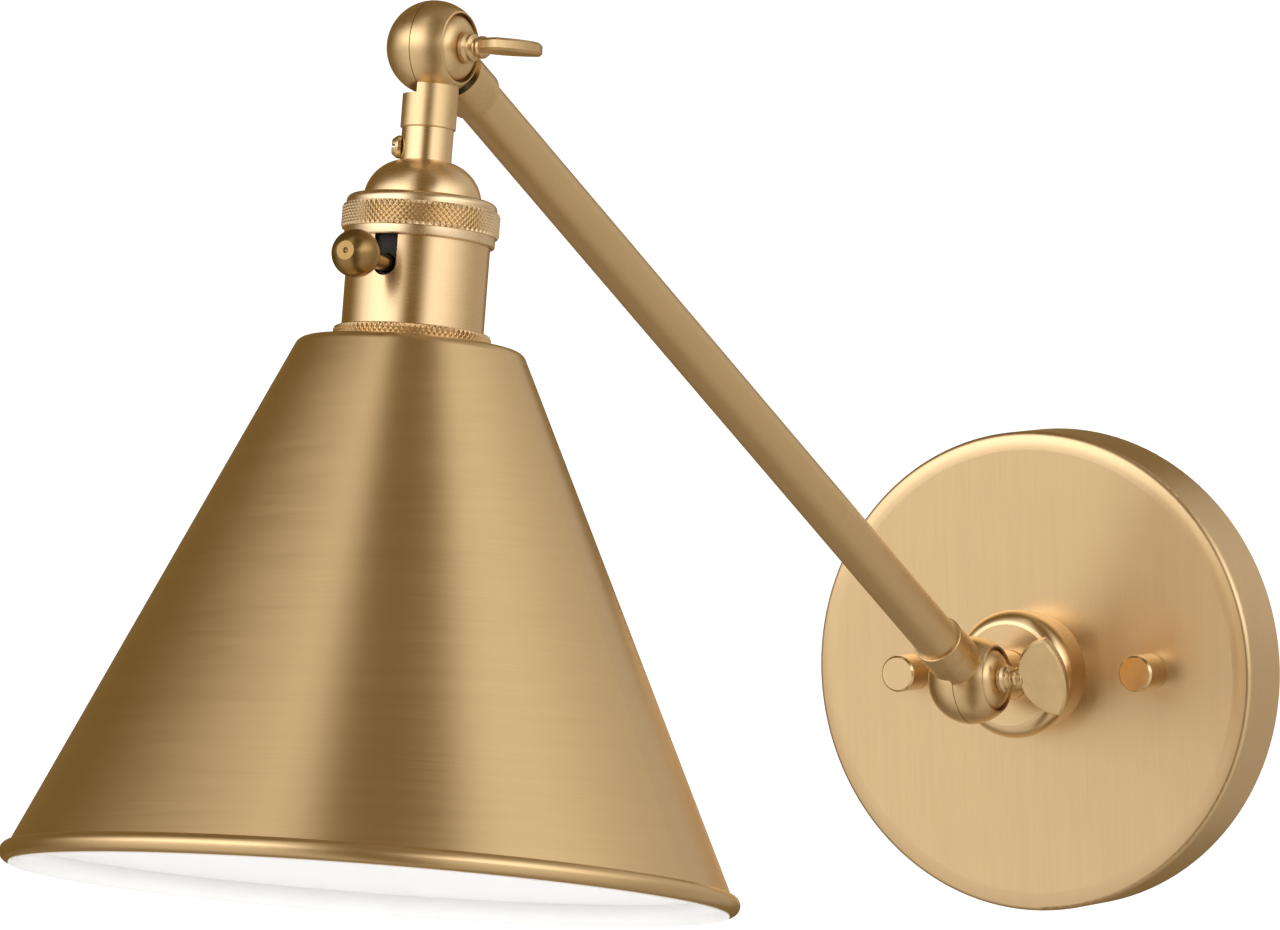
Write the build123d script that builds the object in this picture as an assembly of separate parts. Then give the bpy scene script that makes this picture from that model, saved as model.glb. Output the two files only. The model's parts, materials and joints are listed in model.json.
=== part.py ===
from build123d import *
from math import cos, pi, radians, sin, sqrt, tan
import os

# Swing-arm wall picture light with a cone shade. Millimetres.
# Origin: centre of the backplate's rear edge, on the wall. +X right, +Y into the wall, +Z up.
# Bodies: base, swivel, arm, head, switch key and two wing screws.

# ---- driving dimensions -------------------------------------------------------------------
# wall side; depths are measured out from the wall
plate_radius, plate_depth, plate_wall = 63.5, 19.0, 1.2
plate_shoulder, plate_shoulder_turn, plate_edge_round = 12.0, 18.0, 1.6
stud_offset, stud_radius, stud_end = 34.925, 2.0, 26.0
cap_nut_radius, cap_nut_height, cap_nut_bevel, cap_nut_foot = 4.85, 9.7, 0.55, 0.3
bar_thickness, bar_width, bar_hole_radius, bar_corner = 1.6, 16.0, 6.0, 3.0
box_bar_length, fixture_bar_length = 104.0, 84.0
box_screw_spacing, box_slot_width, box_slot_length = 88.9, 4.8, 12.0
stud_nut_flats, stud_nut_height = 8.0, 3.0
ground_screw_offset, ground_head_radius, ground_head_height, screw_slot = 22.0, 4.0, 2.2, 0.9
hub_radius, hub_height, hub_face_radius, hub_spigot_radius = 16.8, 14.4, 14.3, 8.0
hub_foot_taper, hub_nose_depth, hub_nose_sag, hub_face_bevel = 0.9, 5.7, 0.75, 0.9
hub_nut_flats, hub_nut_height, hub_washer_radius, hub_washer_thickness = 21.0, 3.6, 12.5, 0.8
spindle_nut_flats, spindle_nut_height = 15.0, 3.4
spindle_washer_radius, spindle_washer_thickness = 7.8, 0.4
spindle_radius, spindle_end, wireway_radius, running_clearance = 5.0, 8.0, 3.3, 0.05

# pose of the arm and head as stored, in degrees
swivel_roll = 2.46          # the lower hinge axis is turned this far about the hub axis
arm_rise = 32.87            # arm above the horizontal
shade_lean, shade_side_lean = 10.21, 1.33   # shade axis away from the wall, and towards -X
lower_wing_lean, upper_wing_lean = 18.6, 84.0   # blade height, from upright towards the room
arm_length = 312.6          # ball centre to ball centre
lower_ball_reach = 53.95    # wall to lower ball centre

# knuckles
ball_radius, seam_gap, seam_play = 11.5, 0.26, 0.05
collar_radius, relief_radius = 6.7, 13.5
arm_collar_end, neck_collar_end = 22.0, 19.9
cavity_radius, post_radius, web_inner = 8.6, 3.8, 2.8
cup_radius, cup_floor, cup_lip = 8.4, 4.6, 0.45   # counterbore that holds the cup washer
cup_washer_play, cup_washer_edge, cup_washer_rise, cup_washer_top = 0.45, 1.9, 4.0, 3.9
screw_depth = 8.2                           # wing screw's end beyond the ball centre
screw_radius, screw_clearance = 1.95, 0.06
arm_tube_radius, arm_tube_wall, tube_seat = 5.86, 0.9, 6.5
wing_start, wing_end, wing_shoulder = 14.0, 27.5, 23.8
wing_half_height, wing_thickness, wing_bevel = 10.75, 3.0, 0.6

# head; heights are measured along the shade axis from the upper ball centre
neck_radius, neck_end, neck_bore, neck_seat, neck_spigot = 6.25, 27.8, 3.4, 5.0, 5.5
set_screw_height, set_screw_turn = 24.6, 60.0
set_screw_head, set_screw_head_height, set_screw_radius, set_screw_slot = 2.8, 2.1, 1.5, 0.8
dome_radius, dome_end, dome_wall, dome_foot = 14.2, 38.4, 0.8, 36.6
dome_middle_radius, dome_middle_height, dome_flange, dome_neck = 12.0, 31.35, 1.2, 3.0
cap_ring_top, knurl_top, knurl_bottom, cap_ring_bottom = 36.9, 39.4, 45.3, 47.7
cap_ring_lip, knurl_radius, knurl_chamfer = 18.2, 19.1, 0.45
cap_ring_round, cap_ring_lower_round = 1.7, 0.45
shell_radius, shell_wall, shell_top, shell_end = 17.15, 0.5, 40.2, 84.0
liner_wall, core_radius, core_top, core_end = 0.5, 15.9, 43.0, 83.0
terminal_offset, terminal_radius, terminal_length = 9.8, 1.5, 3.5
terminal_head_radius, terminal_head_height = 2.6, 1.8
tongue_length, tongue_width, tongue_thickness, tongue_tilt, rivet_radius = 11.0, 5.0, 0.6, 18.0, 1.2
key_height, key_turn, slot_width = 54.6, 4.0, 6.2
key_stem_radius, key_ball_radius, key_ball_reach, key_facet_radius = 2.1, 5.8, 31.6, 2.3
key_stem_end = 28.6
key_dimple_radius, key_neck_radius, key_neck_flare, key_neck_length = 0.75, 2.5, 3.0, 3.1
rotor_radius, rotor_length, rotor_reach, rotor_play, rotor_flat = 4.2, 4.0, 6.0, 0.3, 0.7
lamp_bore_radius, screw_shell_wall, screw_shell_top, well_floor = 13.25, 0.4, 64.5, 60.5
shade_ring_top, shade_top, shade_wall = 69.0, 72.3, 0.9
shade_nut_depth, shade_nut_radius, shade_nut_hub, shade_nut_flange = 3.0, 21.5, 19.0, 1.0
shade_corner_radius, shade_corner_round, shade_half_angle = 27.0, 3.0, 25.2
bead_height, bead_centre_radius, bead_radius = 201.0, 86.35, 2.4
lining_thickness = 0.3
lead_radius, lead_stop = 0.85, 5.2
lead_offset, lead_spread = 1.45, 1.0        # from the seam plane, and either side of the stem axis
head_lead_reach, supply_lead_length, supply_lead_spread = 8.0, 40.0, 9.0

# ---- directions and frames ----------------------------------------------------------------
outward = Vector(0, -1, 0)
lower_hinge = Vector(cos(radians(swivel_roll)), 0, sin(radians(swivel_roll)))
lower_up = outward.cross(lower_hinge)
arm_axis = outward * cos(radians(arm_rise)) + lower_up * sin(radians(arm_rise))
side, lean = radians(shade_side_lean), radians(shade_lean)
shade_axis = Vector(-sin(side), -cos(side) * sin(lean), -cos(side) * cos(lean))
upper_hinge = arm_axis.cross(shade_axis).normalized()
lower_ball = outward * lower_ball_reach
upper_ball = lower_ball + arm_axis * arm_length


def frame(origin, x_dir, z_dir):
    return Plane(origin=origin, x_dir=x_dir, z_dir=z_dir).location


def blade_frame(origin, hinge, turn):
    """X along the hinge, Z along the blade's height, turned from upright towards the room."""
    front = (outward - hinge * outward.dot(hinge)).normalized()
    upright = front.cross(hinge)
    return frame(origin, hinge, upright * cos(radians(turn)) + front * sin(radians(turn)))


wall_frame = frame((0, 0, 0), (1, 0, 0), outward)
swivel_frame = frame(lower_ball, lower_hinge, outward * -1)
arm_frame = frame(lower_ball, lower_hinge, arm_axis)
arm_end_frame = frame(upper_ball, upper_hinge, arm_axis * -1)
head_frame = frame(upper_ball, upper_hinge, shade_axis)
key_frame = head_frame * Location((0, 0, key_height), (0, 0, -key_turn))
lower_wing_frame = blade_frame(lower_ball, lower_hinge, lower_wing_lean)
upper_wing_frame = blade_frame(upper_ball, upper_hinge, upper_wing_lean)

# ---- shape helpers ------------------------------------------------------------------------
to_x = Location((0, 0, 0), (0, 90, 0))      # turns a shape about Z into one about X
to_y = Location((0, 0, 0), (-90, 0, 0))     # turns a shape about Z into one about Y


def turned(points, rounds=()):
    """Solid of revolution about Z from an (r, z) outline; rounds holds (corner index, radius)."""
    face = make_face(Polyline(*points, close=True))
    for index, radius in rounds:
        corner = face.vertices().sort_by_distance(Vector(*points[index], 0))[0]
        face = fillet(corner, radius)
    return revolve(Plane.XZ * face, Axis.Z)


def tube(inner, outer, low, high):
    """Ring about Z; an inner radius of 0 gives a disc."""
    return turned([(inner, low), (outer, low), (outer, high), (inner, high)])


def hex_nut(across_flats, bore, low, high):
    body = extrude(RegularPolygon(across_flats / 2, 6, major_radius=False), high - low)
    return Pos(0, 0, low) * body - tube(0, bore, low - 1, high + 1)


def lead(*points, bend=3.0):
    """Insulated wire along straight runs joined by arcs."""
    path = FilletPolyline(*points, radius=bend) if len(points) > 2 else Line(*points)
    section = Plane(origin=path @ 0, z_dir=path % 0) * Circle(lead_radius)
    return sweep(section, path=path)


# ---- wall side, Z out from the wall --------------------------------------------------------
plate_back = plate_depth - plate_wall
hub_washer_back = plate_back - hub_washer_thickness
hub_nut_back = hub_washer_back - hub_nut_height
hub_end = hub_nut_back - 0.4
spindle_washer_front = hub_end - 2 * running_clearance
spindle_washer_back = spindle_washer_front - spindle_washer_thickness
spindle_nut_back = spindle_washer_back - spindle_nut_height


def backplate():
    """Spun pan: the face rolls over a wide soft shoulder into a tight edge and a straight rim."""
    hole, turn = hub_spigot_radius + running_clearance * 2, radians(plate_shoulder_turn)
    reach = plate_shoulder - plate_edge_round
    edge_centre = Vector(plate_radius - plate_edge_round, plate_depth - plate_shoulder + reach * cos(turn))
    shoulder_centre = edge_centre - Vector(sin(turn), cos(turn)) * reach

    def on_shoulder(angle, inset):
        return shoulder_centre + Vector(sin(angle), cos(angle)) * (plate_shoulder - inset)

    def on_edge(angle, inset):
        return edge_centre + Vector(sin(angle), cos(angle)) * (plate_edge_round - inset)

    def bend(inset):
        """The shoulder arc and the edge arc, moved inwards by the inset."""
        ThreePointArc(on_shoulder(0, inset), on_shoulder(turn / 2, inset), on_shoulder(turn, inset))
        ThreePointArc(on_edge(turn, inset), on_edge((turn + pi / 2) / 2, inset), on_edge(pi / 2, inset))

    with BuildSketch() as section:
        with BuildLine():
            Line((hole, plate_depth), on_shoulder(0, 0))
            bend(0)
            Polyline(on_edge(pi / 2, 0), (plate_radius, 0), (plate_radius - plate_wall, 0),
                     on_edge(pi / 2, plate_wall))
            bend(plate_wall)
            Polyline(on_shoulder(0, plate_wall), (hole, plate_back), (hole, plate_depth))
        make_face()
    pan = revolve(Plane.XZ * section.sketch, Axis.Z)
    for x in (-stud_offset, stud_offset):
        pan -= Pos(x, 0, 0) * tube(0, stud_radius + 0.3, plate_back - 1, plate_depth + 1)
    return pan


def box_bar():
    bar = Pos(0, 0, bar_thickness / 2) * Box(bar_width, box_bar_length, bar_thickness)
    bar = fillet(bar.edges().filter_by(Axis.Z), bar_corner) - tube(0, bar_hole_radius, -1, bar_thickness + 1)
    for y in (-box_screw_spacing / 2, box_screw_spacing / 2):
        slot = SlotOverall(box_slot_length, box_slot_width, rotation=90)
        bar -= Pos(0, y, -1) * extrude(slot, bar_thickness + 2)
    return bar - Pos(0, -ground_screw_offset, 0) * tube(0, stud_radius, -1, bar_thickness + 1)


def fixture_bar():
    low, high = bar_thickness, bar_thickness * 2
    bar = Pos(0, 0, (low + high) / 2) * Box(fixture_bar_length, bar_width, bar_thickness)
    bar = fillet(bar.edges().filter_by(Axis.Z), bar_corner) - tube(0, bar_hole_radius, low - 1, high + 1)
    for x in (-stud_offset, stud_offset):
        bar -= Pos(x, 0, 0) * tube(0, stud_radius, low - 1, high + 1)
    return bar


def fixture_studs():
    stud = turned([(0, bar_thickness), (stud_radius, bar_thickness), (stud_radius, stud_end - 0.5),
                   (stud_radius - 0.5, stud_end), (0, stud_end)])
    return [Pos(x, 0, 0) * stud for x in (-stud_offset, stud_offset)]


def stud_nuts():
    nut = hex_nut(stud_nut_flats, stud_radius, bar_thickness * 2, bar_thickness * 2 + stud_nut_height)
    return [Pos(x, 0, 0) * nut for x in (-stud_offset, stud_offset)]


def cap_nuts():
    top, bore_end = plate_depth + cap_nut_height, stud_end + 0.4
    outline = [(stud_radius, plate_depth), (cap_nut_radius - cap_nut_foot, plate_depth),
               (cap_nut_radius, plate_depth + cap_nut_foot), (cap_nut_radius, top - cap_nut_bevel),
               (cap_nut_radius - cap_nut_bevel, top), (0, top), (0, bore_end), (stud_radius, bore_end)]
    nut = turned(outline, [(3, 0.3)])
    return [Pos(x, 0, 0) * nut for x in (-stud_offset, stud_offset)]


def ground_screw():
    top, bevel = bar_thickness + ground_head_height, 0.6
    head = turned([(0, bar_thickness), (ground_head_radius, bar_thickness), (ground_head_radius, top - bevel),
                   (ground_head_radius - bevel, top), (0, top)])
    slot = Pos(0, 0, top) * Box(3 * ground_head_radius, screw_slot, ground_head_height * 0.6)
    return Pos(0, -ground_screw_offset, 0) * (tube(0, stud_radius, 0, bar_thickness) + head - slot)


def hub():
    front, bore = plate_depth + hub_height, spindle_radius + running_clearance
    widest = hub_radius, front - hub_nose_depth
    middle = hub_radius - hub_nose_sag, front - hub_nose_depth / 3
    nose_end = hub_face_radius, front - hub_face_bevel * 0.4
    with BuildSketch() as section:
        with BuildLine():
            Polyline((bore, hub_end), (hub_spigot_radius, hub_end), (hub_spigot_radius, plate_depth),
                     (hub_radius - hub_foot_taper, plate_depth), widest)
            ThreePointArc(widest, middle, nose_end)
            Polyline(nose_end, (hub_face_radius - hub_face_bevel, front), (bore, front), (bore, hub_end))
        make_face()
    return revolve(Plane.XZ * section.sketch, Axis.Z)


def hub_nut():
    return hex_nut(hub_nut_flats, hub_spigot_radius, hub_nut_back, hub_washer_back)


def supply_lead(y):
    """From the spindle's mouth down behind the backplate; the pair parts towards its ends."""
    mouth, run = spindle_end - 0.4, spindle_end - 2.9
    spread = supply_lead_spread * y - lead_offset
    return lead((-lead_offset, y, mouth), (-lead_offset, y, run), (spread, y + 3, run),
                (spread, supply_lead_length, run), bend=1.4)


def ground_lead():
    start = bar_thickness + ground_head_height + lead_radius
    low, mouth = -ground_screw_offset, spindle_end - 0.4
    return lead((1.2, low, start), (1.2, -1.6, start), (1.2, -1.6, mouth), bend=1.2)


# ---- knuckles, X along the hinge and Z along the stem ----------------------------------------
def knuckle_ball(side):
    """Hollow half ball: +1 has the cup washer's counterbore and web, -1 has the screw post."""
    seam, bore = seam_gap / 2, screw_radius + screw_clearance

    def on_arc(radius, height):
        return sqrt(radius ** 2 - height ** 2), height

    outer_start, hollow_end = on_arc(ball_radius, seam), on_arc(cavity_radius, seam)
    with BuildSketch() as section:
        with BuildLine():
            if side > 0:
                rim = cup_radius + cup_lip, sqrt(ball_radius ** 2 - (cup_radius + cup_lip) ** 2)
                hollow_start = on_arc(cavity_radius, web_inner)
                inner_line = [rim, (cup_radius, rim[1] + cup_lip / 3), (cup_radius, cup_floor),
                              (bore, cup_floor), (bore, web_inner), hollow_start]
            else:
                rim = 0, ball_radius
                hollow_start = post_radius, sqrt(cavity_radius ** 2 - post_radius ** 2)
                inner_line = [rim, (0, screw_depth + 0.6), (bore, screw_depth + 0.6), (bore, seam + 0.5),
                              (post_radius, seam + 0.5), hollow_start]
            RadiusArc(outer_start, rim, -ball_radius)
            Polyline(*inner_line)
            RadiusArc(hollow_start, hollow_end, cavity_radius)
            Line(hollow_end, outer_start)
        make_face()
    ball = to_x * revolve(Plane.XZ * section.sketch, Axis.Z)
    return ball if side > 0 else Rot(0, 0, 180) * ball


def knuckle_half(side, collar_end, seat_radius=0, seat_length=0):
    """Half ball with its round collar, relieved where the other half ball turns."""
    low = cavity_radius + 0.2
    collar = turned([(wireway_radius, low), (collar_radius, low), (collar_radius, collar_end),
                     (wireway_radius, collar_end)], [(2, 0.35)])
    other_side = Box(60, 60, 60, align=(Align.MAX, Align.CENTER, Align.CENTER))
    relief = Sphere(relief_radius) & Pos(seam_gap / 2, 0, 0) * other_side
    collar -= relief if side > 0 else Rot(0, 0, 180) * relief
    half = knuckle_ball(side) + collar - tube(0, wireway_radius, low - 2.3, collar_end + 1)
    if seat_length:
        half -= tube(0, seat_radius, collar_end - seat_length, collar_end + 1)
    return half


def lower_inner_half():
    shoulder = lower_ball_reach - plate_depth - hub_height - 0.3
    knuckle = knuckle_half(-1, shoulder)
    spindle = tube(wireway_radius, spindle_radius, shoulder, lower_ball_reach - spindle_end)
    return knuckle + spindle


def lower_outer_half():
    return knuckle_half(1, arm_collar_end, arm_tube_radius, tube_seat)


def upper_inner_half():
    return knuckle_half(-1, arm_collar_end, arm_tube_radius, tube_seat)


def upper_outer_half():
    return knuckle_half(1, neck_collar_end, spindle_radius, neck_seat)


def seam_washer():
    half = seam_gap / 2 - seam_play
    return to_x * tube(cavity_radius + 0.3, ball_radius - 0.2, -half, half)


def cup_washer():
    """Domed washer that the wing screw pulls into the counterbore."""
    bore, rim = screw_radius + screw_clearance, cup_radius - cup_washer_play
    edge, top = cup_floor + cup_washer_edge, cup_floor + cup_washer_rise
    crown = ((rim + cup_washer_top) / 2 + 0.5, (edge + top) / 2 + 0.45)
    with BuildSketch() as section:
        with BuildLine():
            Polyline((cup_washer_top, top), (bore, top), (bore, cup_floor), (rim, cup_floor), (rim, edge))
            ThreePointArc((rim, edge), crown, (cup_washer_top, top))
        make_face()
    return to_x * revolve(Plane.XZ * section.sketch, Axis.Z)


def wing_screw():
    """Stepped collar and round barrel, cast in one with a half-moon blade."""
    base = cup_floor + cup_washer_rise
    steps = [(3.6, 0.0), (3.9, 0.3), (3.9, 1.3), (3.3, 1.9), (3.3, 2.7), (2.3, 3.3), (2.3, 3.7), (2.75, 4.6)]
    outline = [(0, -screw_depth), (screw_radius, -screw_depth), (screw_radius, base)]
    outline += [(radius, base + height) for radius, height in steps]
    outline += [(2.75, wing_start), (1.9, wing_start + 1.3), (0, wing_start + 1.6)]
    nose = len(outline) - 3
    stem = to_x * turned(outline, [(nose, 0.6), (nose + 1, 0.5)])
    upper_tip, lower_tip = (wing_shoulder, wing_half_height), (wing_shoulder, -wing_half_height)
    moon = make_face([ThreePointArc(upper_tip, (wing_start, 0), lower_tip),
                      ThreePointArc(lower_tip, (wing_end, 0), upper_tip)])
    blade = extrude(Plane.XZ * moon, wing_thickness / 2, both=True)
    return stem + chamfer(blade.faces().filter_by(Axis.Y).edges(), wing_bevel)


# ---- arm ----------------------------------------------------------------------------------
def arm_tube():
    seat = arm_collar_end - tube_seat
    return tube(arm_tube_radius - arm_tube_wall, arm_tube_radius, seat, arm_length - seat)


# ---- head, Z along the shade axis ------------------------------------------------------------
def neck_tube():
    """Turned neck with a thinner spigot at each end, into the collar and into the cap."""
    neck = tube(neck_bore, neck_radius, neck_collar_end, neck_end)
    neck += tube(neck_bore, spindle_radius, neck_collar_end - neck_seat + 0.2, neck_end + neck_spigot)
    return neck - set_screw_axis() * tube(0, set_screw_radius, 0, neck_radius + 2)


def set_screw_axis():
    """Z points out of the neck, from the forward direction towards the hinge's inner side."""
    turn = radians(set_screw_turn)
    return frame((0, 0, set_screw_height), (0, 0, 1), (-sin(turn), cos(turn), 0))


def neck_set_screw():
    """Round slotted head; its underside follows the neck."""
    seat, top = neck_radius - 0.15, neck_radius + set_screw_head_height
    start, crown = neck_bore + 0.3, set_screw_head - 1.0
    outline = [(0, start), (set_screw_radius, start), (set_screw_radius, seat), (set_screw_head, seat),
               (set_screw_head, seat + 0.9), (crown, top), (0, top)]
    slot = Pos(0, 0, top) * Box(set_screw_slot, 3 * set_screw_head, 2 * set_screw_slot)
    head = set_screw_axis() * (turned(outline, [(4, 0.8), (5, 0.7)]) - slot)
    shank = set_screw_axis() * tube(0, set_screw_radius, start, seat + 0.5)
    return head - tube(0, neck_radius, neck_collar_end, neck_end) + shank


def socket_cap():
    """Half dome on the neck, with a flange that the cap ring clamps to the shell."""
    inner, neck_low = dome_radius - dome_wall, neck_end + dome_wall
    flange_radius, flange_high = shell_radius - 0.25, dome_end + dome_flange
    outer_middle = (dome_middle_radius, dome_middle_height)
    inner_middle = (dome_middle_radius - 0.6, dome_middle_height + 0.6)
    with BuildSketch() as section:
        with BuildLine():
            ThreePointArc((neck_radius, neck_end), outer_middle, (dome_radius, dome_foot))
            Polyline((dome_radius, dome_foot), (dome_radius, dome_end), (flange_radius, dome_end),
                     (flange_radius, flange_high), (inner, flange_high), (inner, dome_foot))
            ThreePointArc((inner, dome_foot), inner_middle, (neck_radius, neck_low + 0.1))
            Polyline((neck_radius, neck_low + 0.1), (neck_radius, neck_low + dome_neck),
                     (spindle_radius, neck_low + dome_neck), (spindle_radius, neck_end),
                     (neck_radius, neck_end))
        make_face()
    return revolve(Plane.XZ * section.sketch, Axis.Z)


def cap_ring():
    """Clamp ring: rounded upper lip, knurled band, and a lower lip over the shell."""
    bore, neck_hole, bevel = shell_radius + 0.1, dome_radius + 0.1, 0.3
    outline = [(neck_hole, cap_ring_top), (cap_ring_lip, cap_ring_top), (cap_ring_lip, knurl_top),
               (knurl_radius, knurl_top + bevel), (knurl_radius, knurl_bottom - bevel),
               (cap_ring_lip, knurl_bottom), (cap_ring_lip, cap_ring_bottom), (bore, cap_ring_bottom),
               (bore, dome_end), (neck_hole, dome_end)]
    return turned(outline, [(1, cap_ring_round), (6, cap_ring_lower_round)])


def key_slot(width):
    """Slot for the key stem, open at the top of the shell, cut through whatever wall it meets."""
    top, length, reach = shell_top - 1, key_height - shell_top + 1, 2 * shell_radius
    slot = Pos(0, 0, top) * Box(width, reach, length, align=(Align.CENTER, Align.MIN, Align.MIN))
    return Rot(0, 0, -key_turn) * (slot + Pos(0, 0, key_height) * to_y * tube(0, width / 2, 0, reach))


def socket_shell():
    shell = tube(shell_radius - shell_wall, shell_radius, shell_top, shell_end)
    return shell - key_slot(slot_width)


def shell_liner():
    outer = shell_radius - shell_wall
    liner = tube(outer - liner_wall, outer, shell_top + 1.0, core_end)
    return liner - key_slot(slot_width + 1.0)


def socket_core():
    """Moulded body: switch chamber above, well for the screw shell below."""
    outline = [(0, core_top), (core_radius, core_top), (core_radius, core_end), (0, core_end)]
    core = turned(outline, [(1, 1.0)])
    core -= tube(0, lamp_bore_radius + screw_shell_wall, well_floor, shell_end)
    pocket = tube(0, rotor_radius + rotor_play, rotor_reach - rotor_play,
                  rotor_reach + rotor_length + rotor_play)
    stem_hole = tube(0, key_stem_radius + rotor_play, rotor_reach, core_radius + 2)
    core -= Pos(0, 0, key_height) * Rot(0, 0, -key_turn) * to_y * (stem_hole + pocket)
    for x in (-terminal_offset, terminal_offset):
        core -= Pos(x, 0, 0) * tube(0, terminal_radius, core_top - 1, core_top + terminal_length + 0.5)
    return core


def screw_shell():
    outer = lamp_bore_radius + screw_shell_wall
    return tube(lamp_bore_radius, outer, screw_shell_top, core_end - 0.5)


def centre_contact():
    """Sprung brass tongue on the floor of the lamp well."""
    foot = Box(tongue_width, tongue_width, tongue_thickness)
    foot = Pos(4.5, 0, well_floor + tongue_thickness / 2) * foot
    tongue = Rot(0, tongue_tilt, 0) * Box(tongue_length, tongue_width, tongue_thickness)
    tongue = Pos(-1, 0, well_floor + 2.1) * tongue
    rivet = Pos(5.2, 0, 0) * tube(0, rivet_radius, well_floor, well_floor + 2 * tongue_thickness)
    return foot + tongue + rivet


def terminal_screws():
    top, end = core_top - terminal_head_height, core_top + terminal_length
    head = turned([(0, top), (terminal_head_radius, top), (terminal_head_radius, core_top),
                   (terminal_radius, core_top), (terminal_radius, end), (0, end)])
    screw = head - Pos(0, 0, top) * Box(3 * terminal_head_radius, screw_slot, terminal_head_height)
    return [Pos(x, 0, 0) * screw for x in (-terminal_offset, terminal_offset)]


def head_lead(y):
    reach = head_lead_reach * y
    return lead((lead_offset, y, lead_stop), (lead_offset, y, neck_end + 6),
                (lead_offset, reach, core_top - 3),
                (lead_offset, reach, core_top), bend=1.2)


def shade_ring():
    bore = shell_radius + 0.05
    return turned([(bore, shade_ring_top), (knurl_radius - knurl_chamfer, shade_ring_top),
                   (knurl_radius, shade_ring_top + knurl_chamfer), (knurl_radius, shade_top),
                   (bore, shade_top)])


def shade_nut():
    bore = shell_radius + 0.05
    low = shade_top + shade_wall
    step, end = low + shade_nut_flange, low + shade_nut_depth
    return turned([(bore, low), (shade_nut_radius, low), (shade_nut_radius, step), (shade_nut_hub, step),
                   (shade_nut_hub, end), (bore, end)])


def shade_line(offset):
    """Top edge, corner and lower end of the cone, moved inwards by the offset."""
    slope = tan(radians(shade_half_angle))
    step = offset * (1 / cos(radians(shade_half_angle)) - slope)
    corner = (shade_corner_radius - step, shade_top + offset)
    end_height = bead_height - bead_radius / 2
    return corner, (corner[0] + (end_height - corner[1]) * slope, end_height)


def shade():
    (corner, end), (inner_corner, inner_end) = shade_line(0), shade_line(shade_wall)
    hole = shell_radius + 0.1
    cone = turned([(hole, shade_top), corner, end, inner_end, inner_corner, (hole, shade_top + shade_wall)],
                  [(1, shade_corner_round), (4, shade_corner_round - shade_wall)])
    return cone + Pos(0, 0, bead_height) * Torus(bead_centre_radius, bead_radius)


def shade_lining():
    """White enamel coat on the inside, from the shade nut round to the foot of the rolled rim."""
    outer, inner = shade_line(shade_wall), shade_line(shade_wall + lining_thickness)
    hole, low = shade_nut_radius + 0.1, shade_top + shade_wall
    outer_round = shade_corner_round - shade_wall
    coat = turned([(hole, low), outer[0], outer[1], inner[1], inner[0], (hole, low + lining_thickness)],
                  [(1, outer_round), (4, outer_round - lining_thickness)])
    foot = bead_height + 2 * bead_radius
    within = turned([(0, outer[0][1]), outer[0], outer[1], (bead_centre_radius, bead_height),
                     (bead_centre_radius, foot), (0, foot)])
    rim_place = Pos(0, 0, bead_height)
    rim_coat = within & rim_place * Torus(bead_centre_radius, bead_radius + lining_thickness)
    return coat + rim_coat - rim_place * Torus(bead_centre_radius, bead_radius)


# ---- switch key, Y out from the shade axis -----------------------------------------------------
def key_knob():
    """Ball with a small flat and a centre dimple, on a flared neck."""
    facet = key_ball_reach + sqrt(key_ball_radius ** 2 - key_facet_radius ** 2)
    ball = Pos(0, key_ball_reach, 0) * Sphere(key_ball_radius)
    ball -= Pos(0, facet, 0) * to_y * tube(0, key_ball_radius, 0, key_ball_radius)
    ball -= Pos(0, facet + key_dimple_radius * 0.4, 0) * Sphere(key_dimple_radius)
    flare = key_ball_reach - key_ball_radius * 0.78
    neck = turned([(0, flare - key_neck_length), (key_neck_radius, flare - key_neck_length),
                   (key_neck_flare, flare), (0, flare)])
    return ball + to_y * neck - to_y * tube(0, key_stem_radius, 0, key_stem_end)


def key_stem():
    return to_y * tube(0, key_stem_radius, rotor_reach + rotor_length, key_stem_end)


def switch_rotor():
    disc = tube(0, rotor_radius, rotor_reach, rotor_reach + rotor_length)
    flats = Box(2 * rotor_radius, 2 * rotor_flat, 3 * rotor_length)
    return to_y * (disc - Pos(0, rotor_radius, 0) * flats - Pos(0, -rotor_radius, 0) * flats)


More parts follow.
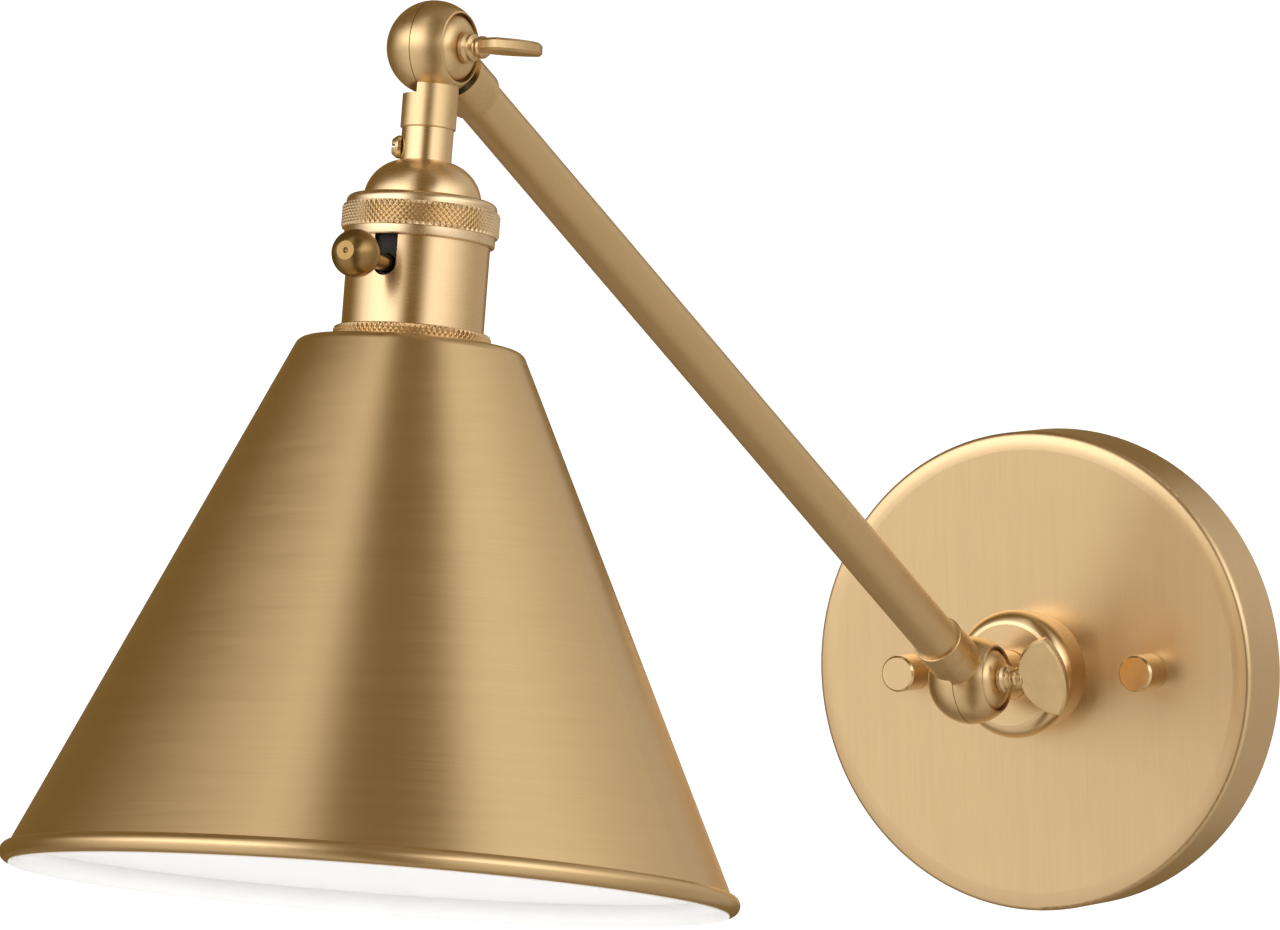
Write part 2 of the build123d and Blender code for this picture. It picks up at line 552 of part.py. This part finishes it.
# ---- every node: name, frame, solids ------------------------------------------------------------
nodes = {
    "backplate": (wall_frame, backplate()),
    "box_bar": (wall_frame, box_bar()),
    "fixture_bar": (wall_frame, fixture_bar()),
    "fixture_studs": (wall_frame, fixture_studs()),
    "stud_nuts": (wall_frame, stud_nuts()),
    "cap_nuts": (wall_frame, cap_nuts()),
    "ground_screw": (wall_frame, ground_screw()),
    "hub": (wall_frame, hub()),
    "hub_washer": (wall_frame, tube(hub_spigot_radius, hub_washer_radius, hub_washer_back, plate_back)),
    "hub_nut": (wall_frame, hub_nut()),
    "ground_lead": (wall_frame, ground_lead()),
    "lower_inner_half": (swivel_frame, lower_inner_half()),
    "spindle_washer": (wall_frame, tube(spindle_radius, spindle_washer_radius, spindle_washer_back,
                                        spindle_washer_front)),
    "spindle_nut": (wall_frame, hex_nut(spindle_nut_flats, spindle_radius, spindle_nut_back,
                                        spindle_washer_back)),
    "lower_seam_washer": (swivel_frame, seam_washer()),
    "lower_outer_half": (arm_frame, lower_outer_half()),
    "lower_cup_washer": (arm_frame, cup_washer()),
    "arm_tube": (arm_frame, arm_tube()),
    "upper_inner_half": (arm_end_frame, upper_inner_half()),
    "upper_seam_washer": (arm_end_frame, seam_washer()),
    "lower_wing_screw": (lower_wing_frame, wing_screw()),
    "upper_wing_screw": (upper_wing_frame, wing_screw()),
    "upper_outer_half": (head_frame, upper_outer_half()),
    "upper_cup_washer": (head_frame, cup_washer()),
    "neck_tube": (head_frame, neck_tube()),
    "neck_set_screw": (head_frame, neck_set_screw()),
    "socket_cap": (head_frame, socket_cap()),
    "cap_ring": (head_frame, cap_ring()),
    "socket_shell": (head_frame, socket_shell()),
    "shell_liner": (head_frame, shell_liner()),
    "socket_core": (head_frame, socket_core()),
    "screw_shell": (head_frame, screw_shell()),
    "centre_contact": (head_frame, centre_contact()),
    "terminal_screws": (head_frame, terminal_screws()),
    "shade_ring": (head_frame, shade_ring()),
    "shade_nut": (head_frame, shade_nut()),
    "shade": (head_frame, shade()),
    "shade_lining": (head_frame, shade_lining()),
    "key_stem": (key_frame, key_stem()),
    "key_knob": (key_frame, key_knob()),
    "switch_rotor": (key_frame, switch_rotor()),
}
spindle_mouth = lower_ball_reach - spindle_end
for colour, y in (("black", -lead_spread), ("white", lead_spread)):
    nodes["supply_lead_" + colour] = (wall_frame, supply_lead(y))
    nodes["swivel_lead_" + colour] = (swivel_frame, lead((-lead_offset, y, lead_stop),
                                                         (-lead_offset, y, spindle_mouth - 0.4)))
    nodes["arm_lead_" + colour] = (arm_frame, lead((lead_offset, y, lead_stop),
                                                   (-lead_offset, y, arm_length - lead_stop)))
    nodes["head_lead_" + colour] = (head_frame, head_lead(y))

os.makedirs("parts", exist_ok=True)
for name, (place, solids) in nodes.items():
    group = solids if isinstance(solids, list) else solids.solids()
    export_step(Compound([place * solid for solid in group]), f"parts/{name}.step")

for label, value in (("lower ball", lower_ball), ("upper ball", upper_ball), ("lower hinge", lower_hinge),
                     ("upper hinge", upper_hinge), ("arm axis", arm_axis), ("shade axis", shade_axis),
                     ("key axis", Plane(key_frame).y_dir), ("key origin", key_frame.position)):
    print(label, [round(part, 6) for part in value])
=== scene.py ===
import json
import math

import bmesh
import bpy
from mathutils import Matrix, Vector


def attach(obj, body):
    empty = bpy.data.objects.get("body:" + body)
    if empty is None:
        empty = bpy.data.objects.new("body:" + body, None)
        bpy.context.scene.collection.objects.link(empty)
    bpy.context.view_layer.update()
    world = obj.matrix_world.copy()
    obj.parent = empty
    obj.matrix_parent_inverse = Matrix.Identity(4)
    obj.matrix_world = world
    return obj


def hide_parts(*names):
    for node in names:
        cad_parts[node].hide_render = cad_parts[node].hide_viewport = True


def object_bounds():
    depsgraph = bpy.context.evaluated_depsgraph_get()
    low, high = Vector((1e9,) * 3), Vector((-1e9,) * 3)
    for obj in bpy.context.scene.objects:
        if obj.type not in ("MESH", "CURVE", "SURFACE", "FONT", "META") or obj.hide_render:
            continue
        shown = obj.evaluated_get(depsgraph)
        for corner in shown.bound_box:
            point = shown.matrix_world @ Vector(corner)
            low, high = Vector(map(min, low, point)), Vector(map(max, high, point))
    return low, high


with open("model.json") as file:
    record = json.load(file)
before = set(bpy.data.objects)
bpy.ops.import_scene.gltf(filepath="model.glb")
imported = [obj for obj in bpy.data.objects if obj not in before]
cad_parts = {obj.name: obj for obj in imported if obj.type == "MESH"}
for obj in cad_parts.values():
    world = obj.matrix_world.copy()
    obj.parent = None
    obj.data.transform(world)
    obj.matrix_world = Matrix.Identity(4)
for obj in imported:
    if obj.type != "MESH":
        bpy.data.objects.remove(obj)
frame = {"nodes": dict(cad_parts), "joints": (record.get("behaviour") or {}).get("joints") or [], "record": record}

cad_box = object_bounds()
MM = 0.001

# ---- the frame's own points and axes -------------------------------------------------------
record = frame["record"]
joints = {joint["name"]: joint for joint in frame["joints"]}
mounts = {mount["name"]: mount for mount in record["mounts"]}
lower_ball = Vector(joints["arm_tilt"]["pos_m"])
upper_ball = Vector(joints["head_tilt"]["pos_m"])
upper_hinge = Vector(joints["upper_wing_turn"]["axis"]).normalized()
key_point = Vector(joints["switch_key_turn"]["pos_m"])
key_axis = Vector(joints["switch_key_turn"]["axis"]).normalized()
shade_axis = Vector(mounts["lamp_socket"]["axis"]).normalized()
arm_axis = (upper_ball - lower_ball).normalized()
outward = Vector((0, -1, 0))
wall_centre = Vector((0, 0, 0))
upright = (0.0, 0.0, 1.0)


# ---- node-tree helpers ---------------------------------------------------------------------
class Nodes:
    """Short names for building a node tree."""

    def __init__(self, node_tree):
        self.nodes, self.links = node_tree.nodes, node_tree.links
        self.nodes.clear()

    def put(self, socket, value):
        """Link a socket's output, or set a number, vector or colour."""
        if isinstance(value, bpy.types.NodeSocket):
            self.links.new(value, socket)
        elif isinstance(value, (tuple, list, Vector)) and len(value) == 3 and socket.type == "RGBA":
            socket.default_value = (*value, 1.0)
        else:
            socket.default_value = value

    def maths(self, operation, a, b=0.0):
        node = self.nodes.new("ShaderNodeMath")
        node.operation = operation
        self.put(node.inputs[0], a)
        self.put(node.inputs[1], b)
        return node.outputs[0]

    def add(self, a, b):
        return self.maths("ADD", a, b)

    def times(self, a, b):
        return self.maths("MULTIPLY", a, b)

    def degrees(self, value):
        return self.times(value, 180 / math.pi)

    def vector(self, operation, a, b=(0.0, 0.0, 0.0)):
        node = self.nodes.new("ShaderNodeVectorMath")
        node.operation = operation
        self.put(node.inputs[0], a)
        self.put(node.inputs[1], b)
        return node.outputs["Value"] if operation in ("DOT_PRODUCT", "LENGTH") else node.outputs["Vector"]

    def scaled(self, a, scale):
        node = self.nodes.new("ShaderNodeVectorMath")
        node.operation = "SCALE"
        self.put(node.inputs[0], a)
        self.put(node.inputs["Scale"], scale)
        return node.outputs["Vector"]

    def noise(self, coordinates, scale, detail=2.0, roughness=0.5):
        node = self.nodes.new("ShaderNodeTexNoise")
        self.put(node.inputs["Vector"], coordinates)
        node.inputs["Scale"].default_value = scale
        node.inputs["Detail"].default_value = detail
        node.inputs["Roughness"].default_value = roughness
        return node.outputs["Fac"]

    def remap(self, value, low, high, to_low, to_high):
        node = self.nodes.new("ShaderNodeMapRange")
        for socket, number in zip(node.inputs[1:5], (low, high, to_low, to_high)):
            socket.default_value = number
        self.put(node.inputs[0], value)
        return node.outputs[0]

    def ramp(self, value, low, high, to_low, to_high):
        """Smooth step from to_low to to_high, held level outside low and high."""
        result = self.remap(value, low, high, to_low, to_high)
        result.node.interpolation_type = "SMOOTHSTEP"
        return result

    def mix(self, factor, a, b):
        node = self.nodes.new("ShaderNodeMix")
        node.data_type = "RGBA"
        self.put(node.inputs[0], factor)
        self.put(node.inputs[6], a)
        self.put(node.inputs[7], b)
        return node.outputs[2]


class Surface(Nodes):
    """One material's tree, with its principled shader joined to the output."""

    def __init__(self, name):
        self.material = bpy.data.materials.new(name)
        self.material.use_nodes = True
        super().__init__(self.material.node_tree)
        self.shader = self.nodes.new("ShaderNodeBsdfPrincipled")
        output = self.nodes.new("ShaderNodeOutputMaterial")
        self.links.new(self.shader.outputs["BSDF"], output.inputs["Surface"])

    def position(self):
        return self.nodes.new("ShaderNodeTexCoord").outputs["Object"]

    def turned(self, value, kind, source, target):
        """A vector or normal taken from one of the WORLD and OBJECT spaces to the other."""
        node = self.nodes.new("ShaderNodeVectorTransform")
        node.vector_type, node.convert_from, node.convert_to = kind, source, target
        self.put(node.inputs[0], value)
        return node.outputs[0]

    def normal(self):
        """Surface normal in the piece's own space, so that a grain turns with its piece."""
        world_normal = self.nodes.new("ShaderNodeNewGeometry").outputs["Normal"]
        return self.turned(world_normal, "NORMAL", "WORLD", "OBJECT")

    def grain_across(self, direction):
        """Spread the gloss along a direction given in the piece's own space."""
        unit = self.vector("NORMALIZE", direction)
        self.put(self.shader.inputs["Tangent"], self.turned(unit, "VECTOR", "OBJECT", "WORLD"))

    def colour(self, factor, low, high, tone, darker, lighter):
        """Base colour between two shades of a tone, as the factor goes from low to high."""
        dark = tuple(c * (1 - darker) for c in tone)
        light = tuple(min(1.0, c * (1 + lighter)) for c in tone)
        shades = self.mix(self.remap(factor, low, high, 0.0, 1.0), dark, light)
        self.put(self.shader.inputs["Base Color"], shades)

    def roughen(self, factor, low, high, roughness, spread):
        """Roughness that varies by the spread, as the factor goes from low to high."""
        varied = self.remap(factor, low, high, roughness - spread, roughness + spread)
        self.put(self.shader.inputs["Roughness"], varied)

    def metal(self, metallic=1.0, anisotropy=0.0):
        self.shader.inputs["Metallic"].default_value = metallic
        self.shader.inputs["Anisotropic"].default_value = anisotropy

    def bump(self, height, strength, distance):
        node = self.nodes.new("ShaderNodeBump")
        node.inputs["Strength"].default_value = strength
        node.inputs["Distance"].default_value = distance
        self.put(node.inputs["Height"], height)
        self.links.new(node.outputs["Normal"], self.shader.inputs["Normal"])


# ---- kinds of surface ------------------------------------------------------------------------
BRASS = (0.80, 0.60, 0.355)
BRASS_PLATE = (0.755, 0.568, 0.335)
# painted shade: a darker copy of the brass, for the dimmer look of the arm, the shade and the cast knuckles
BRASS_SHADED = (0.74, 0.55, 0.305)
# painted light: a lighter copy of the brass, for the brighter look of the knurled rings
BRASS_LIT = (0.84, 0.67, 0.44)
# painted shade: a much darker copy of the brass, for the switch key's dark look where it mirrors the dim surround
BRASS_DEEP_SHADE = (0.33, 0.215, 0.085)
BRASS_RAW = (0.68, 0.48, 0.20)


def brushed(name, point, axis, roughness=0.36, anisotropy=0.65, tone=BRASS, streak=1.0):
    """Brass brushed round an axis: fine scratches follow the turning, and gloss spreads across them."""
    tree = Surface(name)
    offset = tree.vector("SUBTRACT", tree.position(), tuple(point))
    height = tree.vector("DOT_PRODUCT", offset, tuple(axis))
    radial = tree.vector("SUBTRACT", offset, tree.scaled(tuple(axis), height))
    radius = tree.vector("LENGTH", radial)
    round_axis = tree.vector("NORMALIZE", tree.vector("CROSS_PRODUCT", tuple(axis), offset))
    tree.grain_across(tree.vector("CROSS_PRODUCT", tree.normal(), round_axis))

    lines = tree.nodes.new("ShaderNodeCombineXYZ")
    tree.put(lines.inputs[0], tree.times(height, 1 / MM))
    tree.put(lines.inputs[1], tree.times(radius, 1 / MM))
    direction = tree.vector("NORMALIZE", radial)
    fine = tree.noise(tree.vector("ADD", lines.outputs[0], tree.scaled(direction, 2.2)), 2.6, 3.0)
    broad = tree.noise(tree.vector("ADD", lines.outputs[0], tree.scaled(direction, 5.0)), 0.45, 2.0)
    cloud = tree.noise(tree.position(), 26.0, 3.0)
    tint = tree.add(tree.times(fine, 0.45), tree.add(tree.times(broad, 0.3), tree.times(cloud, 0.25)))
    tree.colour(tint, 0.36, 0.64, tone, 0.05 * streak, 0.05 * streak)
    tree.roughen(tint, 0.35, 0.65, roughness, 0.04 * streak)
    tree.metal(anisotropy=anisotropy)
    tree.bump(tree.add(fine, broad), 0.06 * streak, 0.05 * MM)
    return tree.material


def straight_brushed(name, direction, roughness, anisotropy, tone):
    """Brass brushed in one straight direction, with faint broad unevenness from the belt."""
    tree = Surface(name)
    along = tree.vector("DOT_PRODUCT", tree.position(), direction)
    across = tree.vector("SUBTRACT", tree.position(), tree.scaled(direction, along))
    stretched = tree.vector("ADD", across, tree.scaled(direction, tree.times(along, 0.03)))
    fine = tree.noise(stretched, 2600.0, 3.0)
    broad = tree.noise(stretched, 380.0, 2.0)
    cloud = tree.noise(tree.position(), 30.0, 3.0)
    tint = tree.add(tree.times(fine, 0.35), tree.add(tree.times(broad, 0.3), tree.times(cloud, 0.35)))
    tree.colour(tint, 0.36, 0.64, tone, 0.03, 0.03)
    tree.roughen(tint, 0.35, 0.65, roughness, 0.03)
    tree.metal(anisotropy=anisotropy)
    tree.grain_across(tree.vector("CROSS_PRODUCT", tree.normal(), direction))
    tree.bump(fine, 0.05, 0.04 * MM)
    return tree.material


def cast_brass(name, roughness, tone):
    """Tumbled and lacquered brass: even satin with soft mottling and a faint grain."""
    tree = Surface(name)
    grain = tree.noise(tree.position(), 3800.0, 2.0)
    cloud = tree.noise(tree.position(), 180.0, 4.0, 0.6)
    tree.colour(cloud, 0.35, 0.65, tone, 0.07, 0.05)
    tree.roughen(tree.add(grain, cloud), 0.7, 1.3, roughness, 0.05)
    tree.metal()
    tree.bump(grain, 0.12, 0.04 * MM)
    return tree.material


def plain(name, colour, roughness, metallic=0.0, grain_scale=900.0, grain=0.2, spread=0.08):
    """Paint, plastic, fibre or plated steel: a base colour with slight mottling and a fine grain."""
    tree = Surface(name)
    cloud = tree.noise(tree.position(), grain_scale * 0.2, 3.0)
    fine = tree.noise(tree.position(), grain_scale, 3.0, 0.6)
    tree.colour(cloud, 0.35, 0.65, colour, spread, spread)
    tree.roughen(fine, 0.3, 0.7, roughness, 0.05)
    tree.metal(metallic)
    tree.bump(fine, grain, 0.05 * MM)
    return tree.material


# ---- one material for each kind of piece -----------------------------------------------------
plate_brushed = straight_brushed("brass_backplate", upright, 0.33, 0.2, BRASS_PLATE)
wall_turned = brushed("brass_wall_turned", wall_centre, outward, 0.24, 0.3, BRASS, 0.5)
arm_turned = brushed("brass_arm_turned", lower_ball, arm_axis, 0.38, 0.3, BRASS_SHADED, 0.4)
head_turned = brushed("brass_head_turned", upper_ball, shade_axis, 0.27, 0.6, BRASS, 0.5)
shade_turned = brushed("brass_shade", upper_ball, shade_axis, 0.31, 0.5, BRASS_SHADED, 0.6)
key_turned = brushed("brass_key", key_point, key_axis, 0.26, 0.3, BRASS_DEEP_SHADE)
lower_cast = cast_brass("brass_lower_knuckle", 0.30, BRASS_SHADED)
upper_cast = cast_brass("brass_upper_knuckle", 0.32, BRASS_SHADED)
knurled = cast_brass("brass_knurled", 0.26, BRASS_LIT)
enamel = plain("white_enamel", (0.95, 0.94, 0.93), 0.45, 0.0, 500.0, 0.05, 0.01)
zinc = plain("zinc_plate", (0.55, 0.56, 0.56), 0.38, 1.0, 900.0, 0.1, 0.1)
green_zinc = plain("green_zinc", (0.03, 0.20, 0.06), 0.4, 0.6)
phenolic = plain("phenolic", (0.010, 0.005, 0.003), 0.65)
fibre = plain("fibre_paper", (0.02, 0.010, 0.005), 0.8, 0.0, 2500.0, 0.4)
raw_brass = brushed("raw_brass", upper_ball, shade_axis, 0.28, 0.4, BRASS_RAW)
black_pvc = plain("black_pvc", (0.012, 0.012, 0.012), 0.45)
white_pvc = plain("white_pvc", (0.72, 0.72, 0.70), 0.45)
green_pvc = plain("green_pvc", (0.02, 0.22, 0.05), 0.45)

finish = {
    "backplate": plate_brushed, "hub": wall_turned, "cap_nuts": wall_turned,
    "arm_tube": arm_turned, "neck_tube": head_turned, "socket_cap": head_turned, "socket_shell": head_turned,
    "cap_ring": knurled, "shade_ring": knurled, "shade_nut": raw_brass, "shade": shade_turned,
    "shade_lining": enamel, "key_stem": key_turned, "key_knob": key_turned,
    "neck_set_screw": lower_cast, "socket_core": phenolic, "switch_rotor": phenolic, "shell_liner": fibre,
    "screw_shell": raw_brass, "centre_contact": raw_brass, "terminal_screws": raw_brass,
    "ground_screw": green_zinc, "ground_lead": green_pvc,
    "lower_seam_washer": lower_cast, "upper_seam_washer": upper_cast,
}
for node in ("box_bar", "fixture_bar", "fixture_studs", "stud_nuts", "hub_washer", "hub_nut",
             "spindle_washer", "spindle_nut"):
    finish[node] = zinc
for part in ("inner_half", "outer_half", "cup_washer", "wing_screw"):
    finish["lower_" + part], finish["upper_" + part] = lower_cast, upper_cast
for body in ("supply", "swivel", "arm", "head"):
    finish[body + "_lead_black"], finish[body + "_lead_white"] = black_pvc, white_pvc
for node, obj in frame["nodes"].items():
    obj.data.materials.clear()
    obj.data.materials.append(finish[node])


# ---- knurled rings and the lamp's thread -------------------------------------------------------
# Radii and heights here are in mm, with height measured from the upper ball along the shade's axis.
def head_matrix():
    """Z along the shade axis from the upper ball centre."""
    forward = shade_axis.cross(upper_hinge).normalized()
    across = forward.cross(shade_axis)
    return Matrix.Translation(upper_ball) @ Matrix((across, forward, shade_axis)).transposed().to_4x4()


def spot(radius, angle, height):
    """Metre point from a radius and height in mm and an angle in radians."""
    return Vector((radius * math.cos(angle), radius * math.sin(angle), height)) * MM


def arc(centre_r, centre_h, radius, start, end, steps):
    """Points of an arc in (r, h); angles in degrees from outward, towards greater height."""
    angles = [math.radians(start + (end - start) * i / steps) for i in range(steps + 1)]
    return [(centre_r + radius * math.cos(a), centre_h + radius * math.sin(a)) for a in angles]


def ring_of(bm, radius, height, count):
    """Evenly spaced vertices round the axis."""
    return [bm.verts.new(spot(radius, 2 * math.pi * i / count, height)) for i in range(count)]


def bridge(bm, first, second):
    """Faces between two rings of the same count."""
    count = len(first)
    for i in range(count):
        bm.faces.new((first[i], second[i], second[(i + 1) % count], first[(i + 1) % count]))


def knurl_band(bm, low, high, root, tip, rows, count):
    """Raised diamonds with small flat tops; returns the first and last rings of the band."""
    columns, steps, flat = 2 * count, 2 * rows, 0.16

    def point(i, j, radius):
        return spot(radius, 2 * math.pi * i / columns, low + (high - low) * j / steps)

    grid = {}
    for j in range(steps + 1):
        for i in range(columns):
            edge_row, peak = j in (0, steps), (i + j) % 2
            if edge_row or not peak:
                radius = (root + tip) / 2 if edge_row and peak else root
                grid[i, j] = bm.verts.new(point(i, j, radius))
    for j in range(steps + 1):
        for i in range(columns):
            if not (i + j) % 2:
                continue
            corners = [((i + 1) % columns, j), (i, j + 1), ((i - 1) % columns, j), (i, j - 1)]
            if j in (0, steps):
                inner = corners[1] if j == 0 else corners[3]
                for outer in (corners[0], corners[2]):
                    bm.faces.new((grid[i, j], grid[outer], grid[inner]))
                continue
            offsets = [(flat, 0), (0, flat), (-flat, 0), (0, -flat)]
            top = [bm.verts.new(point(i + di, j + dj, tip)) for di, dj in offsets]
            bm.faces.new(top)
            for k in range(4):
                following = (k + 1) % 4
                bm.faces.new((top[k], grid[corners[k]], grid[corners[following]], top[following]))
    return [[grid[i, j] for i in range(columns)] for j in (0, steps)]


def finish_piece(bm, name, material, sharp, replaced):
    """Place a head piece, smooth it up to the sharp angle, and put it in its CAD node's place."""
    bm.transform(head_matrix())
    bmesh.ops.recalc_face_normals(bm, faces=bm.faces)
    mesh = bpy.data.meshes.new(name)
    bm.to_mesh(mesh)
    bm.free()
    mesh.shade_smooth()
    mesh.set_sharp_from_angle(angle=math.radians(sharp))
    mesh.materials.append(material)
    obj = bpy.data.objects.new(name, mesh)
    bpy.context.scene.collection.objects.link(obj)
    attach(obj, "head")
    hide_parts(replaced)


def knurled_ring(name, before, band, after):
    """Closed ring: outline points up to the knurled band, the band, and the points back to the bore."""
    bm = bmesh.new()
    around = 2 * band[-1]
    first, last = knurl_band(bm, *band)
    rings = [ring_of(bm, r, h, around) for r, h in before] + [first]
    tail = [last] + [ring_of(bm, r, h, around) for r, h in after]
    for chain in (rings, tail):
        for a, b in zip(chain, chain[1:]):
            bridge(bm, a, b)
    bridge(bm, tail[-1], rings[0])
    finish_piece(bm, name + "_knurled", knurled, 22, name)


def screw_shell_thread():
    """Rolled screw shell: one thin sheet with a rounded helical thread that fades out at both ends."""
    pitch, wall, low, high, around, steps = 3.63, 0.35, 64.5, 82.5, 96, 120
    mean, swing, lift, fade_length = 12.88, 0.37, 0.3, 1.5
    bm = bmesh.new()

    def sheet(extra):
        rows = []
        for j in range(steps + 1):
            height = low + (high - low) * j / steps
            fade = min(1.0, (height - low) / fade_length, (high - height) / fade_length)
            ring = []
            for i in range(around):
                angle = 2 * math.pi * i / around
                phase = 2 * math.pi * height / pitch - angle
                radius = mean + (swing * math.sin(phase) + lift) * fade + extra
                ring.append(bm.verts.new(spot(radius, angle, height)))
            rows.append(ring)
        return rows

    inner, outer = sheet(0.0), sheet(wall)
    for rows in (inner, outer):
        for a, b in zip(rows, rows[1:]):
            bridge(bm, a, b)
    bridge(bm, inner[0], outer[0])
    bridge(bm, inner[-1], outer[-1])
    finish_piece(bm, "screw_shell_thread", raw_brass, 50, "screw_shell")


def add_rings():
    """The socket's cap ring and the ring that holds the shade."""
    root, tip = 18.6, 19.08

    lip, dome_hole, bore = 18.2, 14.3, 17.25
    top, ledge, end, top_round, end_round = 36.9, 38.4, 47.7, 1.7, 0.45
    before = [(dome_hole, ledge), (dome_hole, top)]
    before += arc(lip - top_round, top + top_round, top_round, -90, 0, 10)
    before += [(lip, 39.35), (18.25, 39.4)]
    after = [(lip, 45.35)] + arc(lip - end_round, end - end_round, end_round, 0, 90, 5)
    after += [(bore, end), (bore, ledge)]
    knurled_ring("cap_ring", before, (39.45, 45.25, root, tip, 4, 80), after)

    bore, start, end = 17.2, 69.0, 72.3
    before = [(bore, start), (18.5, start), (18.68, 69.12)]
    after = [(18.4, end), (bore, end)]
    knurled_ring("shade_ring", before, (69.2, 72.25, root, tip, 2, 84), after)


add_rings()
screw_shell_thread()

# ---- camera ---------------------------------------------------------------------------------
view_azimuth, view_elevation, view_roll = math.radians(28.454), math.radians(2.191), math.radians(-1.739)
camera_distance, camera_right, camera_up = 2.97977, -0.112454, 0.053671
sensor_width, focal_length, far_clip = 36.0, 315.4, 100


def view_axes():
    """Right, up and back of the view, turned by azimuth and elevation, then rolled."""
    a, e, roll = view_azimuth, view_elevation, view_roll
    back = Vector((math.sin(a) * math.cos(e), -math.cos(a) * math.cos(e), math.sin(e)))
    level = Vector((math.cos(a), math.sin(a), 0))
    up = back.cross(level)
    return (level * math.cos(roll) + up * math.sin(roll), up * math.cos(roll) - level * math.sin(roll), back)


def add_camera():
    """Long lens at the view's angle, shifted sideways and up from the wall centre."""
    right, up, back = view_axes()
    data = bpy.data.cameras.new("camera")
    data.lens, data.sensor_width, data.sensor_fit = focal_length, sensor_width, "HORIZONTAL"
    data.clip_end = far_clip
    camera = bpy.data.objects.new("camera", data)
    place = back * camera_distance + right * camera_right + up * camera_up
    turn = Matrix((right, up, back)).transposed().to_4x4()
    camera.matrix_world = Matrix.Translation(place) @ turn
    bpy.context.scene.collection.objects.link(camera)
    bpy.context.scene.camera = camera


# ---- studio -----------------------------------------------------------------------------------
def add_floor():
    """Round pale floor on the white surround, below everything that the arm can reach."""
    bm = bmesh.new()
    reach, drop, corners = 1.2, 0.62, 96
    floor_height = cad_box[0][2] - drop
    bm.faces.new(ring_of(bm, reach / MM, floor_height / MM, corners))
    mesh = bpy.data.meshes.new("floor")
    bm.to_mesh(mesh)
    bm.free()
    mesh.materials.append(plain("pale_floor", (0.93, 0.93, 0.925), 0.8, 0.0, 60.0, 0.05, 0.005))
    floor = bpy.data.objects.new("floor", mesh)
    bpy.context.scene.collection.objects.link(floor)
    floor.visible_glossy = False


def add_world():
    """Soft studio surround: a tall soft light on the left, one on the right, dim warm walls between them.

    Gloss sees those lights; all other rays meet an even neutral white, which is also the backdrop.
    Azimuth is in degrees from straight out of the wall, positive to the right.
    """
    warm_colour, warm_level, backdrop_level = (1.0, 0.57, 0.05), 0.17, 1.2
    left_level, right_level, right_level_high = 1.95, 1.85, 0.72
    world = bpy.data.worlds.new("studio")
    world.use_nodes = True
    tree = Nodes(world.node_tree)
    axes = tree.nodes.new("ShaderNodeSeparateXYZ")
    tree.put(axes.inputs[0], tree.nodes.new("ShaderNodeTexCoord").outputs["Generated"])
    azimuth = tree.degrees(tree.maths("ARCTAN2", axes.outputs[0], tree.times(axes.outputs[1], -1.0)))
    elevation = tree.degrees(tree.maths("ARCSINE", axes.outputs[2]))
    lift = tree.remap(elevation, 20, 60, 0.0, 1.0)

    def edge(low, high, to_low, to_high, shift):
        """Step over azimuth that moves by the shift between low and high elevations."""
        moved = tree.maths("SUBTRACT", azimuth, tree.times(lift, shift))
        return tree.ramp(moved, low, high, to_low, to_high)

    left = tree.times(edge(-100, -42, 0.0, left_level, 38), edge(-8, 22, 1.0, 0.0, 0))
    right = tree.times(edge(32, 60, 0.0, right_level, 43), edge(74, 140, 1.0, 0.5, -14))
    right = tree.times(right, tree.remap(lift, 0.0, 1.0, 1.0, right_level_high))
    far_right = tree.times(tree.ramp(azimuth, 85, 160, 0.0, 0.52), tree.ramp(elevation, 0, 15, 0.0, 1.0))
    right = tree.times(right, tree.maths("SUBTRACT", 1.0, far_right))

    below = tree.add(tree.ramp(elevation, -80, -5, 0.2, 0.36), tree.ramp(elevation, 0, 20, 0.0, 0.64))
    above = tree.times(tree.ramp(elevation, 28, 62, 1.0, 0.34), tree.ramp(elevation, 66, 90, 1.0, 0.4))
    glow = tree.times(tree.add(left, right), tree.times(below, above))
    low_left = tree.times(tree.ramp(azimuth, -90, -30, 0.11, 0.0), tree.ramp(elevation, -35, -12, 1.0, 0.0))
    bounce = tree.add(tree.ramp(elevation, -70, -20, 0.06, 0.0), low_left)
    warm = tree.scaled(warm_colour, warm_level)
    white = tree.scaled((1.0, 1.0, 1.0), tree.add(glow, bounce))

    studio = tree.nodes.new("ShaderNodeBackground")
    tree.put(studio.inputs["Color"], tree.vector("ADD", warm, white))
    backdrop = tree.nodes.new("ShaderNodeBackground")
    tree.put(backdrop.inputs["Color"], (1.0, 1.0, 1.0))
    backdrop.inputs["Strength"].default_value = backdrop_level
    path = tree.nodes.new("ShaderNodeLightPath")
    either = tree.nodes.new("ShaderNodeMixShader")
    tree.put(either.inputs[0], path.outputs["Is Glossy Ray"])
    tree.links.new(backdrop.outputs[0], either.inputs[1])
    tree.links.new(studio.outputs[0], either.inputs[2])
    tree.links.new(either.outputs[0], tree.nodes.new("ShaderNodeOutputWorld").inputs["Surface"])
    bpy.context.scene.world = world


add_camera()
add_floor()
add_world()
bpy.context.scene.view_settings.view_transform = "Standard"
